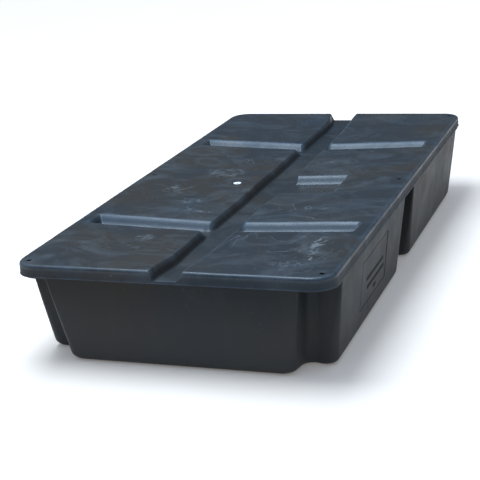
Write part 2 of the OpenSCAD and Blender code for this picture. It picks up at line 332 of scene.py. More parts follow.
def round_corners(x, y):
    """Moves grid points of the square corners into the round ones."""
    a = (np.abs(x) - (HALF_W - CORNER_R)) / CORNER_R
    b = (np.abs(y) - (HALF_L - CORNER_R)) / CORNER_R
    corner = (a > 0) & (b > 0)
    m = np.maximum(a, b)
    least = np.minimum(a, b)
    ratio = np.where(corner, least / np.maximum(m, 1e-9), 0)
    theta = np.where(a >= b, ratio, 2 - ratio) * math.pi / 4
    nx = HALF_W - CORNER_R + CORNER_R * m * np.cos(theta)
    ny = HALF_L - CORNER_R + CORNER_R * m * np.sin(theta)
    return np.where(corner, np.sign(x) * nx, x), np.where(corner, np.sign(y) * ny, y)


def both_sides(start, end, step):
    """The same fine zone of grid lines on both sides of the middle."""
    return [(-end, -start, step), (start, end, step)]


def edged_lines(half, zones):
    """Grid lines from -half to half, with those of the rounded outer edge at both ends."""
    edge = np.array([half - EDGE_R * (1 - math.sin(math.radians(a))) for a in (90, 70, 50, 30, 12)])
    return np.concatenate([-edge, stepped(EDGE_R - half, half - EDGE_R, 0.018, zones), edge[::-1]])


def deck_grid():
    """Grid lines of the deck's top: fine across the walls and fillets, coarse on the flats."""
    fine, bore, dish = 0.0032, 0.005, 0.007
    zx = both_sides(0.032, 0.082, fine) + both_sides(0.500, 0.556, 0.004) + both_sides(0.530, 0.580, bore)
    zx += [(0.052, 0.086, 0.0025), (POCKET_END - 0.040, POCKET_END + 0.014, fine)]
    zx += [(PORT[0] - 0.10, PORT[0] + 0.06, dish), (PORT[0] - 0.045, PORT[0] + 0.045, bore)]
    zy = both_sides(1.128, 1.172, bore) + both_sides(HALF_L - 0.052, HALF_L, 0.006) + [(-0.022, 0.022, bore)]
    zy += [(middle - half - 0.009, middle + half + 0.009, fine) for middle, half in GROOVES]
    zy += [(POCKET_NEAR - 0.009, POCKET_NEAR + 0.040, fine), (POCKET_FAR - 0.076, POCKET_FAR + 0.009, fine)]
    zy += [(PORT[1] - 0.10, PORT[1] + 0.10, dish), (PORT[1] - 0.045, PORT[1] + 0.045, bore)]
    return edged_lines(HALF_W, zx), edged_lines(HALF_L, zy)


def follow_channel(x, y):
    """Bends the grid's long lines so that they follow the channel's edges."""
    left = smooth((x + 0.100) / 0.020) * smooth((-0.004 - x) / 0.030)
    right = smooth((x - 0.004) / 0.030) * smooth((0.108 - x) / 0.022)
    return x - left * (left_edge(y) - LEFT_TOP) + right * (right_edge(y) - CHANNEL_TOP)


def bending(x, y, step=0.006):
    """How far the deck stands above the points round it: positive on crests, negative in hollows."""
    around = sum(deck_height(x + a * step, y + b * step) for a, b in ((1, 0), (-1, 0), (0, 1), (0, -1)))
    return deck_height(x, y) - around / 4


def rubbed_and_highlit(x, y, inset, bend):
    """Share of pale, rubbed plastic and painted highlight: crests and the outer rim, less along the channel and
    the pocket.
    """
    rim = smooth(1 - np.abs(inset - 0.004) / 0.012)
    by_left = np.maximum(smooth((0.032 - np.abs(x + left_edge(y))) / 0.010), smooth((-x - 0.500) / 0.020))
    by_right = smooth((0.032 - np.abs(x - right_edge(y))) / 0.010) * smooth((0.56 - np.abs(y)) / 0.10)
    pocket = smooth((0.16 - np.abs(y + 0.05)) / 0.02) * smooth((0.34 - np.abs(x)) / 0.01)
    crest = np.clip(bend / 0.0009, 0, 1) * (1 - 0.75 * by_left - 0.6 * np.maximum(by_right, pocket))
    return np.clip(np.maximum(crest, rim), 0, 1)


def channel_shade(x, y, bend):
    """Share of painted shade: full along the channel's hollow foot lines, and less on its bed."""
    hollow = np.clip(-bend / 0.0008, 0, 1) * smooth((0.090 - np.abs(x)) / 0.015)
    bed = smooth((right_edge(y) - 0.012 - x) / 0.020) * smooth((x + left_edge(y) - 0.008) / 0.020)
    return np.maximum(hollow, 0.45 * bed)


def deck_top_points():
    """Grid points of the deck's top, each with its share of rubbed edge and painted highlight, of painted sky
    reflection on steep walls, and of painted shade in the channel.
    """
    gx, gy = np.meshgrid(*deck_grid(), indexing="ij")
    inset = np.minimum(HALF_W - np.abs(gx), HALF_L - np.abs(gy))
    px, py = round_corners(follow_channel(gx, gy), gy)
    z = deck_height(px, py)
    floor = LIP_Z + 0.0018
    z = np.where(z < floor, z + (floor - z) * smooth(1 - inset / 0.06), z)
    over = np.clip(EDGE_R - inset, 0, EDGE_R)
    drop = EDGE_R - np.sqrt(EDGE_R ** 2 - over ** 2)
    room = np.clip(z - floor, 0, EDGE_R)
    # Steepness across y: where the groove and pocket walls take a painted blue sky reflection.
    slope = np.abs(deck_height(px, py + 0.002) - deck_height(px, py - 0.002)) / 0.004
    bend = bending(px, py)
    shares = rubbed_and_highlit(px, py, inset, bend), np.clip((slope - 0.04) / 0.5, 0, 1), channel_shade(px, py, bend)
    return px, py, z - drop * room / EDGE_R, shares


def edge_loop(nx, ny):
    """Grid indexes round the outer boundary, once."""
    loop = [(i, 0) for i in range(nx - 1)]
    loop += [(nx - 1, j) for j in range(ny - 1)]
    loop += [(i, ny - 1) for i in range(nx - 1, 0, -1)]
    loop += [(0, j) for j in range(ny - 1, 0, -1)]
    return loop


def outward(x, y):
    """Outward direction of the deck's outline at a point on or near it."""
    cx = max(-(HALF_W - CORNER_R), min(HALF_W - CORNER_R, x))
    cy = max(-(HALF_L - CORNER_R), min(HALF_L - CORNER_R, y))
    d = Vector((x - cx, y - cy))
    return d.normalized()


def cell_points(cells):
    """Every grid point at a corner of a set of cells."""
    return {(i + a, j + b) for i, j in cells for a in (0, 1) for b in (0, 1)}


def hole_edge(cells, centre, px, py):
    """The boundary points of a set of removed grid cells, in order round the centre."""
    count = {}
    for i, j in cells:
        corners = [(i, j), (i + 1, j), (i + 1, j + 1), (i, j + 1)]
        for a, b in zip(corners, corners[1:] + corners[:1]):
            key = tuple(sorted((a, b)))
            count[key] = count.get(key, 0) + 1
    used = {p for key, n in count.items() if n == 1 for p in key}
    return sorted(used, key=lambda p: math.atan2(py[p] - centre[1], px[p] - centre[0]))


# The skirt and lip, from the top edge down: how far out, share of the skirt's height or z, share of rubbed
# plastic and painted highlight, highest at the lip's edge.
SKIRT_ROWS = [(0, 0.66, None, 0.25), (0, 0.33, None, 0.15), (0, 0.08, None, 0.15),
              (0.0002, None, LIP_Z + 0.0004, 0.2), (0.0006, None, LIP_Z - 0.0012, 0.3),
              (0.0011, None, LIP_Z - 0.0028, 0.4), (0.0016, None, LIP_Z - 0.0045, 0.9),
              (LIP_OUT, None, LIP_Z - 0.0058, 1), (LIP_OUT, None, JOINT_Z + 0.0012, 1),
              (0.0014, None, JOINT_Z + 0.0004, 0.8), (0.0004, None, JOINT_Z, 0), (-SHEET, None, JOINT_Z, 0)]
SKIRT_FOOT = LIP_Z + 0.0012


def make_deck(material):
    px, py, pz, shares = deck_top_points()
    middle_x, middle_y = (px[:-1, :-1] + px[1:, 1:]) / 2, (py[:-1, :-1] + py[1:, 1:]) / 2
    cut, edges = [], []
    for centre, reach, *_rest in DECK_HOLES:
        near = np.hypot(middle_x - centre[0], middle_y - centre[1]) < reach
        cut.append({tuple(cell) for cell in np.argwhere(near)})
        edges.append(hole_edge(cut[-1], centre, px, py))
    gone = set().union(*cut)
    inside = set().union(*[cell_points(cells) - set(edge) for cells, edge in zip(cut, edges)])
    bm = bmesh.new()
    # wear: rubbed plastic and painted highlight; wall: painted sky reflection; grime: painted shade in the
    # channel; skirt: roughness only.
    layers = [bm.verts.layers.float.new(name) for name in ("wear", "wall", "grime", "skirt")]

    def point(place_, values):
        vert = bm.verts.new(place_)
        for layer, value in zip(layers, values):
            vert[layer] = value
        return vert
    top = {p: point((px[p], py[p], pz[p]), [share[p] for share in shares])
           for p in np.ndindex(px.shape) if p not in inside}
    cells = [cell for cell in np.ndindex(middle_x.shape) if cell not in gone]
    for i, j in cells:
        bm.faces.new((top[i, j], top[i + 1, j], top[i + 1, j + 1], top[i, j + 1]))
    rim = edge_loop(*px.shape)
    rings = [[top[p] for p in rim]]
    for out, share, z, rub_and_highlight_share in SKIRT_ROWS:
        ring = []
        for v in rings[0]:
            n = outward(v.co.x, v.co.y)
            height = z if z is not None else SKIRT_FOOT + (v.co.z - SKIRT_FOOT) * share
            # Skirt points: rubbed plastic and painted highlight by row, a little painted sky reflection, no
            # painted shade.
            ring.append(point((v.co.x + n.x * out, v.co.y + n.y * out, height), (rub_and_highlight_share, 0.12, 0, 1)))
        rings.append(ring)
    chain(bm, rings)
    bm.normal_update()
    for f in bm.faces:
        if f.normal.z < 0 and f.calc_center_median().z > LIP_Z + 0.004:
            f.normal_flip()
    bm.normal_update()
    under = deck_underside(bm, top, cells, set(rim))
    bridge(bm, rings[-1], [under[p] for p in rim])
    for hole, edge in zip(DECK_HOLES, edges):
        path = [(px[p], py[p], pz[p]) for p in edge]
        hole_wall(bm, hole, path, [top[p] for p in edge], [under[p] for p in edge])
    base_flange(bm)
    return finish_mesh(bm, "deck_moulding", material, "deck", ["deck"])


def deck_underside(bm, top, cells, border):
    """The sheet's lower skin, SHEET under the upper one. Returns its vertices by grid point."""
    under = {}
    for p, v in top.items():
        n = v.normal
        if p in border:
            n = (outward(v.co.x, v.co.y).to_3d() + Vector((0, 0, 0.5))).normalized()
        under[p] = bm.verts.new(v.co - n * SHEET)
    for i, j in cells:
        bm.faces.new((under[i, j], under[i, j + 1], under[i + 1, j + 1], under[i + 1, j]))
    return under


def hole_wall(bm, hole, path, upper, lower):
    """Rim, bore and pillar of one hole, from the upper skin's edge to the lower skin's."""
    (cx, cy), _reach, pillar, bore, soft, low = hole
    angles = [math.atan2(y - cy, x - cx) for x, y, _ in path]
    z = float(np.mean([p[2] for p in path]))
    profile = [(pillar, z), (bore + soft, z), (bore + soft * 0.6, z - soft * 0.12),
               (bore + soft * 0.2, z - soft * 0.45), (bore, z - soft), (bore, low), (pillar, low),
               (pillar, z - SHEET)]
    rings = []
    for r, height in profile:
        rings.append([bm.verts.new((cx + r * math.cos(a), cy + r * math.sin(a), height)) for a in angles])
    chain(bm, [upper, *rings, lower])


def base_flange(bm):
    """The flange that closes the deck's skirt, solid over the notches."""
    faces = []
    for z in (JOINT_Z + 0.0001, LIP_Z):
        outer = [bm.verts.new((x, y, z)) for x, y in rounded_rect_loop(0.007)]
        inner = [bm.verts.new((x, y, z)) for x, y in rim_outline(0.034, 0.03, 0.02)]
        seats = [[bm.verts.new(p) for p in circle(c, 0.0125, z, 32)] for c in BOLTS]
        plate(bm, outer, [inner] + seats)
        faces.append([outer, inner, *seats])
    for low, high in zip(*faces):
        bridge(bm, low, high)


# ---------------------------------------------------------------- tub


def rounded_rect_loop(inset, side_inset=0.0, end_inset=0.0):
    """Plan loop of the deck's outline, set in by inset, and further at the sides and ends."""
    w, l, r = HALF_W - inset - side_inset, HALF_L - inset - end_inset, CORNER_R - inset
    out = []
    for quarter, (sx, sy) in enumerate(((1, 1), (-1, 1), (-1, -1), (1, -1))):
        for i in range(CORNER_STEPS + 1):
            a = math.pi / 2 * (quarter + i / CORNER_STEPS)
            out.append((sx * (w - r) + r * math.cos(a), sy * (l - r) + r * math.sin(a)))
    return out


def plan_corners(x, y, cx, cy, mx, my, lean=0.0):
    """The tub's twenty corners, counter-clockwise: x, y, 1 for a convex or -1 for a hollow one, radius share.

    lean moves the outer ends of the corner notches in."""
    back, nose = cy - lean, cx - lean
    right = [(nose, -y, 1, 0.6), (cx, -back, -1, 1), (x, -cy, 1, 0.8), (x, -my, 1, 0.5), (mx, -my, -1, 0.5),
             (mx, my, -1, 0.5), (x, my, 1, 0.5), (x, cy, 1, 0.8), (cx, back, -1, 1), (nose, y, 1, 0.6)]
    return right + [(-a, -b, sign, share) for a, b, sign, share in right]


# Fixed stops along the long and short walls. The close ones stand at the label panel's edges.
LONG_STOPS = [0.17, 0.24, 0.30, 0.3645, 0.3675, 0.3685, 0.42, 0.47, 0.52, 0.58, 0.64, 0.70,
              0.7615, 0.7625, 0.7655, 0.82, 0.89, 0.96]
END_STOPS = [i * 0.06 for i in range(-6, 7)]


def filleted(corners, r_out, r_in, steps=7):
    """Rounds each corner and adds the fixed stops along the long and short walls."""
    out = []
    for k, (x, y, sign, share) in enumerate(corners):
        last_x, last_y = corners[k - 1][:2]
        next_x, next_y = corners[(k + 1) % len(corners)][:2]
        r = (r_out if sign > 0 else r_in) * share
        a = Vector((last_x - x, last_y - y)).normalized()
        b = Vector((next_x - x, next_y - y)).normalized()
        centre = Vector((x, y)) + (a + b) * r
        for i in range(steps + 1):
            t = math.pi / 2 * i / steps
            out.append(tuple(centre - b * r * math.cos(t) - a * r * math.sin(t)))
        if math.hypot(next_x - x, next_y - y) < 0.6:
            out.append(((x + next_x) / 2, (y + next_y) / 2))
        elif abs(b.y) > 0.5:
            stops = LONG_STOPS if abs(y) < abs(next_y) else LONG_STOPS[::-1]
            side = 1 if y + next_y > 0 else -1
            out += [(x, side * stop) for stop in stops]
        else:
            out += [(stop * (1 if b.x > 0 else -1), y) for stop in END_STOPS]
    return out


def rim_outline(inset, r_out, r_in):
    """Plan of the tub under its rim, set in all round."""
    x, y = HALF_W - inset, HALF_L - END_INSET - inset
    cx, cy = HALF_W - NOTCH_X - inset, HALF_L - END_INSET - NOTCH_Y - inset
    mx, my = HALF_W - MID_NOTCH_DEPTH - inset, MID_NOTCH_HALF + inset
    return filleted(plan_corners(x, y, cx, cy, mx, my), r_out, r_in)


def foot_inset(draft, r, z):
    """How far a rounded foot of radius r stands in from its drafted wall, z above its lowest point."""
    if z >= r:
        return 0.0
    wall = draft * z + r * math.sqrt(1 + draft * draft) - draft * r
    return max(0.0, wall - math.sqrt(r * r - (r - z) ** 2))


def tub_row(z, shell):
    """Plan loop of the tub's wall at height z. shell is how far inside the outer face."""
    fall = LIP_Z - z
    ox = foot_inset(SIDE_DRAFT, BASE_R - shell, z - shell)
    oy = foot_inset(END_DRAFT, BASE_R - shell, z - shell)
    on = foot_inset(NOTCH_DRAFT, NOTCH_BASE_R - shell, z - shell)
    x = HALF_W - SIDE_DRAFT * fall - shell - ox
    y = HALF_L - END_INSET - END_DRAFT * fall - shell - oy
    cx = HALF_W - NOTCH_X - NOTCH_DRAFT * fall - shell - on
    cy = HALF_L - END_INSET - NOTCH_Y - 0.5 * NOTCH_DRAFT * fall - shell - on
    mx = HALF_W - MID_NOTCH_DEPTH - NOTCH_DRAFT * fall - shell - on
    my = MID_NOTCH_HALF + NOTCH_DRAFT * fall + shell + on
    share = min(1, max(0, fall / LIP_Z))
    r_out = 0.012 + 0.044 * share ** 1.6
    r_in = 0.034 + 0.012 * share
    corners = plan_corners(x, y, cx, cy, mx, my, LOBE_LEAN * share)
    plan = filleted(corners, max(0.004, r_out - shell * 0.6), r_in + shell * 0.6 + on * 0.2)
    return [(a, b, z) for a, b in plan]


def make_tub(material):
    bm = bmesh.new()
    flange_low = RIM_TOP - RIM_H
    arc = [BASE_R * (1 - math.sin(math.radians(deg))) for deg in (8, 19, 30, 41, 52, 62, 71, 80, 86)] + [0.0]
    wall_z = [flange_low, flange_low - 0.0015, flange_low - 0.005, 0.300, 0.287, 0.2845, 0.2835, 0.245, 0.205,
              0.165, 0.125, 0.0945, 0.0935, 0.0905, 0.066]
    wall = loops(bm, [press_label(tub_row(z, 0)) for z in wall_z + arc])
    bm.faces.new(wall[-1])
    shrink = (BASE_R - SHEET) / BASE_R
    inner_z = [flange_low, 0.29, 0.24, 0.18, 0.12, 0.07] + [SHEET + z * shrink for z in arc]
    inside = loops(bm, [tub_row(z, SHEET) for z in inner_z])
    bm.faces.new(inside[-1])

    def rim(inset, z):
        outline = rim_outline(inset, max(0.006, 0.02 - inset * 0.3), 0.016 + inset * 0.4)
        return [bm.verts.new((x, y, z)) for x, y in outline]
    steps = [inside[0], rim(0.040, flange_low), rim(0.040, RIM_TOP - 0.001), rim(0.039, RIM_TOP),
             rim(TRACK_IN, RIM_TOP), rim(TRACK_IN, RIM_TOP - TRACK_DEPTH), rim(TRACK_OUT, RIM_TOP - TRACK_DEPTH),
             rim(TRACK_OUT, RIM_TOP)]
    chain(bm, steps)
    outline = [(0.0008, RIM_TOP), (0.0002, RIM_TOP - 0.0005), (0, RIM_TOP - 0.0014), (0, flange_low + 0.0007),
               (0.0005, flange_low)]
    rows = [[(x, y, z) for x, y in rounded_rect_loop(inset, 0.0016, 0.0125)] for inset, z in outline]
    flange = loops(bm, rows)
    bolts = [loops(bm, [circle(c, BOLT_R, z, 32) for z in (RIM_TOP, flange_low)]) for c in BOLTS]
    plate(bm, flange[0], [steps[-1]] + [b[0] for b in bolts])
    plate(bm, flange[-1], [wall[0]] + [b[1] for b in bolts])
    for name in COLUMNS:
        column_seat(bm, name)
    drain_boss(bm)
    tub = finish_mesh(bm, "sump_tub_moulding", material, "sump", ["sump_tub"])
    drill_drain(tub)
    return tub


def press_label(row):
    """Sinks the label panel's bed into the right-hand wall."""
    z = row[0][2]
    if not LABEL_Z[0] + 0.001 < z < LABEL_Z[1]:
        return row
    low, high = LABEL_Y[0] - 0.0002, LABEL_Y[1] + 0.0002
    return [(x - 0.0042 if x > 0.5 and low < y < high else x, y, z) for x, y, z in row]


def column_place(name):
    lo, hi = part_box(name)
    return (lo.x + hi.x) / 2, (lo.y + hi.y) / 2, lo.z, hi.z


def ring_sector(bm, centre, r0, r1, z0, z1, a0, a1, steps=10):
    """A closed piece of ring between two angles, with its upper edges cut off."""
    sections = []
    e = 0.0012
    for i in range(steps + 1):
        a = a0 + (a1 - a0) * i / steps
        c, s = math.cos(a), math.sin(a)
        shape = [(r0, z0), (r1, z0), (r1, z1 - e), (r1 - e, z1), (r0 + e, z1), (r0, z1 - e)]
        sections.append([bm.verts.new((centre[0] + r * c, centre[1] + r * s, z)) for r, z in shape])
    chain(bm, sections)
    bm.faces.new(sections[0])
    bm.faces.new(sections[-1][::-1])


def column_seat(bm, name):
    """Four arcs moulded into the floor round a column's foot."""
    x, y, low, _high = column_place(name)
    outer = COLUMN_R + SEAT_WALL
    gap = math.asin(0.015 / outer)
    for k in range(4):
        start, end = math.pi / 2 * k + gap, math.pi / 2 * (k + 1) - gap
        ring_sector(bm, (x, y), COLUMN_R + 0.0005, outer, low - 0.002, low + SEAT_H - 0.001, start, end)


def drain_matrix():
    """Places a part drawn round Z at the drain, with +Z outwards."""
    return Matrix.Translation(DRAIN) @ Matrix.Rotation(-math.pi / 2, 4, "X")


def drain_boss(bm):
    """Raised ring round the drain."""
    part = bmesh.new()
    ring = [(INSERT_R, -INSERT_LEN), (INSERT_R + 0.013, -INSERT_LEN), (INSERT_R + 0.013, 0), (INSERT_R, 0)]
    lathe(part, soften(ring, {2: 0.004}), 72)
    place(part, drain_matrix())
    absorb(bm, part)


def drill_drain(tub):
    """Cuts the drain's way through the end wall, inside the boss."""
    bm = bmesh.new()
    bore = INSERT_R + 0.0005
    lathe(bm, [(0, -0.05), (bore, -0.05), (bore, 0.03), (0, 0.03)], 72, closed=False)
    bmesh.ops.recalc_face_normals(bm, faces=bm.faces)
    place(bm, drain_matrix())
    mesh = bpy.data.meshes.new("drill")
    bm.to_mesh(mesh)
    bm.free()
    tool = bpy.data.objects.new("drill", mesh)
    bpy.context.collection.objects.link(tool)
    mod = tub.modifiers.new("drill", "BOOLEAN")
    mod.operation = "DIFFERENCE"
    mod.solver = "EXACT"
    mod.use_self = True
    mod.object = tool
    while tub.modifiers[0] != mod:
        tub.modifiers.move(tub.modifiers.find("drill"), 0)
    bpy.context.view_layer.objects.active = tub
    bpy.ops.object.modifier_apply(modifier="drill")
    bpy.data.objects.remove(tool)
    bpy.data.meshes.remove(mesh)


# ---------------------------------------------------------------- gasket, columns, fittings


def make_gasket(material):
    bm = bmesh.new()
    low, high = RIM_TOP - TRACK_DEPTH, RIM_TOP
    start, end = TRACK_OUT + 0.0003, TRACK_IN - 0.0003
    section = [(start, low), (start, high - 0.0012), (start + 0.0004, high - 0.0004), (start + 0.0012, high),
               (end - 0.0012, high), (end - 0.0004, high - 0.0004), (end, high - 0.0012), (end, low)]
    made = loops(bm, [[(x, y, z) for x, y in rim_outline(inset, 0.0155, 0.0215)] for inset, z in section])
    bridge(bm, made[-1], made[0])
    return finish_mesh(bm, "rim_gasket_ring", material, "sump", ["rim_gasket"])


def make_column(name, material):
    x, y, low, high = column_place(name)
    bm = bmesh.new()
    inner = COLUMN_R - COLUMN_WALL
    profile = [(0, high - 0.006), (inner, high - 0.006), (inner, low), (COLUMN_R, low),
               (COLUMN_R, high), (0, high)]
    lathe(bm, soften(profile, {4: 0.003}), 64, closed=False)
    place(bm, Matrix.Translation((x, y, 0)))
    return finish_mesh(bm, name + "_tube", material, "sump", [name])


def threaded(bm, r_crest, depth, z0, z1, n=48):
    """Cylinder wall with one helical thread of THREAD_LEAD, depth above or, where negative, below r_crest.

    Returns the end loops."""
    rows = []
    count = int((z1 - z0) / THREAD_LEAD * 8)
    for k in range(count + 1):
        z = z0 + (z1 - z0) * k / count
        fade = max(0.0, min(1.0, (z - z0) / 0.003, (z1 - z) / 0.003))
        ring = []
        for i in range(n):
            a = 2 * math.pi * i / n
            turn = (z / THREAD_LEAD - a / (2 * math.pi)) % 1.0
            r = r_crest + depth * fade * (0.5 - 0.5 * math.cos(2 * math.pi * turn))
            ring.append((r * math.cos(a), r * math.sin(a), z))
        rows.append(ring)
    made = loops(bm, rows)
    return made[0], made[-1]


def rings_of(bm, *sizes, n=48):
    """Loops of vertices round Z, from (radius, z) pairs."""
    return [[bm.verts.new(p) for p in circle((0, 0), r, z, n)] for r, z in sizes]


def place(bm, matrix):
    bmesh.ops.transform(bm, matrix=matrix, verts=bm.verts)


def make_insert(name, material, matrix, body):
    """Collar with a female thread, drawn with its outer face at z = 0."""
    bm = bmesh.new()
    low, high = threaded(bm, SHANK_R + 0.00006, THREAD_DEPTH, -INSERT_LEN, -HEAD_RECESS)
    seat, outer = HEAD_R + 0.002, INSERT_R - 0.0001
    rings = rings_of(bm, (seat - 0.0008, -HEAD_RECESS), (seat, -HEAD_RECESS + 0.0008), (seat, -0.0012),
                     (seat + 0.0012, 0), (outer - 0.0005, 0), (outer, -0.0006), (outer, -INSERT_LEN))
    chain(bm, [high, *rings, low])
    place(bm, matrix)
    return finish_mesh(bm, name + "_collar", material, body, [name], angle=50)


def make_seal(name, material, matrix):
    bm = bmesh.new()
    low, high = -HEAD_RECESS, -HEAD_RECESS + SEAL_T
    inner, outer = SHANK_R + 0.0006, HEAD_R + 0.001
    profile = [(inner, low), (outer, low), (outer, high), (inner, high)]
    lathe(bm, soften(profile, {1: 0.0006, 2: 0.0008, 3: 0.0006}), 48)
    place(bm, matrix)
    return finish_mesh(bm, name + "_ring", material, name, [name])


def make_plug(name, material, matrix, grip):
    """Screw plug: a key recess in a flush head, or a head with a grip bar."""
    bm = bmesh.new()
    tip_z, head_low = -INSERT_LEN + 0.003, -HEAD_RECESS + SEAL_T + 0.0003
    low, high = threaded(bm, SHANK_R, -THREAD_DEPTH, tip_z, head_low)
    tip = rings_of(bm, (SHANK_R - 0.0015, tip_z))[0]
    bridge(bm, tip, low)
    bm.faces.new(tip)
    head = [(HEAD_R - 0.0008, head_low), (HEAD_R, head_low + 0.0008), (HEAD_R, -0.0016),
            (HEAD_R - 0.0005, -0.0006), (HEAD_R - 0.0016, 0), (0.0125, 0)]
    if not grip:
        head += [(0.0118, -0.0009), (0.0085, -0.0012)]
    rings = [high, *rings_of(bm, *head)]
    chain(bm, rings)
    if grip:
        bm.faces.new(rings[-1])
        absorb(bm, soft_block((0, 0, 0.0065), (0.032, 0.010, 0.0145), 0.0018))
    else:
        add_square_key(bm, rings[-1])
    place(bm, matrix)
    return finish_mesh(bm, name + "_screw", material, name, [name], angle=50)


def add_square_key(bm, ring):
    """Square recess that takes a key."""
    n, half = len(ring), 0.0055

    def square(z, h):
        turns = [2 * math.pi * i / n for i in range(n)]
        reach = [h / max(abs(math.cos(a)), abs(math.sin(a))) for a in turns]
        return [bm.verts.new((r * math.cos(a), r * math.sin(a), z)) for r, a in zip(reach, turns)]
    rings = [ring, square(-0.0012, half + 0.0004), square(-0.0018, half), square(-0.0052, half)]
    chain(bm, rings)
    bm.faces.new(rings[-1])


def make_label(material, grime):
    """Blank moulded panel with raised bars where lettering would be, painted near-black as shade."""
    low_x = HALF_W - SIDE_DRAFT * (LIP_Z - LABEL_Z[0])
    origin = Matrix.Translation((low_x, (LABEL_Y[0] + LABEL_Y[1]) / 2, LABEL_Z[0]))
    upright = Euler((math.pi / 2, 0, math.pi / 2)).to_matrix().to_4x4()
    matrix = origin @ Matrix.Rotation(math.atan(SIDE_DRAFT), 4, "Y") @ upright
    wide, high = LABEL_Y[1] - LABEL_Y[0] - 0.014, LABEL_Z[1] - LABEL_Z[0]
    bm = bmesh.new()
    absorb(bm, soft_block((0, high / 2, -0.0022), (wide, high - 0.0030, 0.0030), 0.0012))
    for x, y, length in ((0.013, 0.1010, 0.258), (0.028, 0.0640, 0.262), (0.019, 0.0325, 0.038)):
        bar = soft_block((x, y, -0.0004), (length, 0.014, 0.0014), 0.0006)
        for face in bar.faces:
            face.material_index = 1
        absorb(bm, bar)
    place(bm, matrix)
    panel = finish_mesh(bm, "label_panel_blank", material, "sump", ["label_panel"])
    # The second material paints near-black shade on the raised bars.
    panel.data.materials.append(grime)
    return panel


# ---------------------------------------------------------------- materials


class Nodes:
    """Short calls for building a node tree."""

    def __init__(self, name):
        self.mat = bpy.data.materials.new(name)
        self.mat.use_nodes = True
        self.tree = self.mat.node_tree
        self.tree.nodes.clear()
        self.out = self.tree.nodes.new("ShaderNodeOutputMaterial")
        self.bsdf = self.tree.nodes.new("ShaderNodeBsdfPrincipled")
        self.tree.links.new(self.bsdf.outputs[0], self.out.inputs[0])
        self.coord = self.tree.nodes.new("ShaderNodeTexCoord").outputs["Object"]

    def link(self, value, socket):
        if isinstance(value, bpy.types.NodeSocket):
            self.tree.links.new(value, socket)
        else:
            socket.default_value = value

    def mapped(self, scale=(1, 1, 1), turn=(0, 0, 0), shift=(0, 0, 0)):
        node = self.tree.nodes.new("ShaderNodeMapping")
        self.tree.links.new(self.coord, node.inputs["Vector"])
        node.inputs["Scale"].default_value = scale
        node.inputs["Rotation"].default_value = turn
        node.inputs["Location"].default_value = shift
        return node.outputs[0]

    def noise(self, scale, detail=3.0, rough=0.5, warp=0.0, at=None):
        node = self.tree.nodes.new("ShaderNodeTexNoise")
        self.tree.links.new(at if at is not None else self.coord, node.inputs["Vector"])
        node.inputs["Scale"].default_value = scale
        node.inputs["Detail"].default_value = detail
        node.inputs["Roughness"].default_value = rough
        node.inputs["Distortion"].default_value = warp
        return node.outputs["Fac"]

    def cells(self, scale):
        """Distance from the nearest of many scattered points."""
        node = self.tree.nodes.new("ShaderNodeTexVoronoi")
        self.tree.links.new(self.coord, node.inputs["Vector"])
        node.inputs["Scale"].default_value = scale
        return node.outputs["Distance"]

    def curve(self, value, *stops):
        """Maps a value linearly between two stops (position, level)."""
        node = self.tree.nodes.new("ShaderNodeValToRGB")
        for element, (pos, level) in zip(node.color_ramp.elements, stops):
            element.position = pos
            element.color = (level, level, level, 1)
        self.tree.links.new(value, node.inputs[0])
        return node.outputs[0]

    def attribute(self, name):
        node = self.tree.nodes.new("ShaderNodeAttribute")
        node.attribute_type = "GEOMETRY"
        node.attribute_name = name
        return node.outputs["Fac"]

    def along(self, axis):
        node = self.tree.nodes.new("ShaderNodeSeparateXYZ")
        self.tree.links.new(self.coord, node.inputs[0])
        return node.outputs[axis]

    def from_axis(self, x=0.0, y=0.0):
        """Distance from an upright axis."""
        dx, dy = self.math("SUBTRACT", self.along("X"), x), self.math("SUBTRACT", self.along("Y"), y)
        return self.math("SQRT", self.plus(self.times(dx, dx), self.times(dy, dy)))

    def spot(self, x, y, rx, ry):
        """1 at a place on the deck, falling to 0 at the edge of an ellipse."""
        fade = self.tree.nodes.new("ShaderNodeTexGradient")
        fade.gradient_type = "SPHERICAL"
        self.tree.links.new(self.mapped((1 / rx, 1 / ry, 0), shift=(-x / rx, -y / ry, 0)), fade.inputs[0])
        return self.curve(fade.outputs["Fac"], (0, 0), (0.45, 1))

    def lines(self, value, width):
        """Thin lines where a noise passes its middle."""
        away = self.math("ABSOLUTE", self.math("SUBTRACT", value, 0.5))
        return self.curve(away, (0, 1), (width, 0))

    def math(self, op, a, b=0.0):
        node = self.tree.nodes.new("ShaderNodeMath")
        node.operation = op
        self.link(a, node.inputs[0])
        self.link(b, node.inputs[1])
        return node.outputs[0]

    def times(self, a, b):
        return self.math("MULTIPLY", a, b)

    def plus(self, a, b):
        return self.math("ADD", a, b)

    def mix(self, fac, a, b):
        node = self.tree.nodes.new("ShaderNodeMix")
        node.data_type = "RGBA"
        self.link(fac, node.inputs[0])
        self.link(a, node.inputs[6])
        self.link(b, node.inputs[7])
        return node.outputs[2]

    def bump(self, height, strength, distance, normal=None):
        node = self.tree.nodes.new("ShaderNodeBump")
        node.inputs["Strength"].default_value = strength
        node.inputs["Distance"].default_value = distance
        self.tree.links.new(height, node.inputs["Height"])
        if normal is not None:
            self.tree.links.new(normal, node.inputs["Normal"])
        return node.outputs[0]

    def set(self, **values):
        names = {"color": "Base Color", "rough": "Roughness", "spec": "Specular IOR Level",
                 "normal": "Normal"}
        for key, value in values.items():
            self.link(value, self.bsdf.inputs[names[key]])
        return self.mat


def rgb(r, g, b):
    return (r, g, b, 1.0)


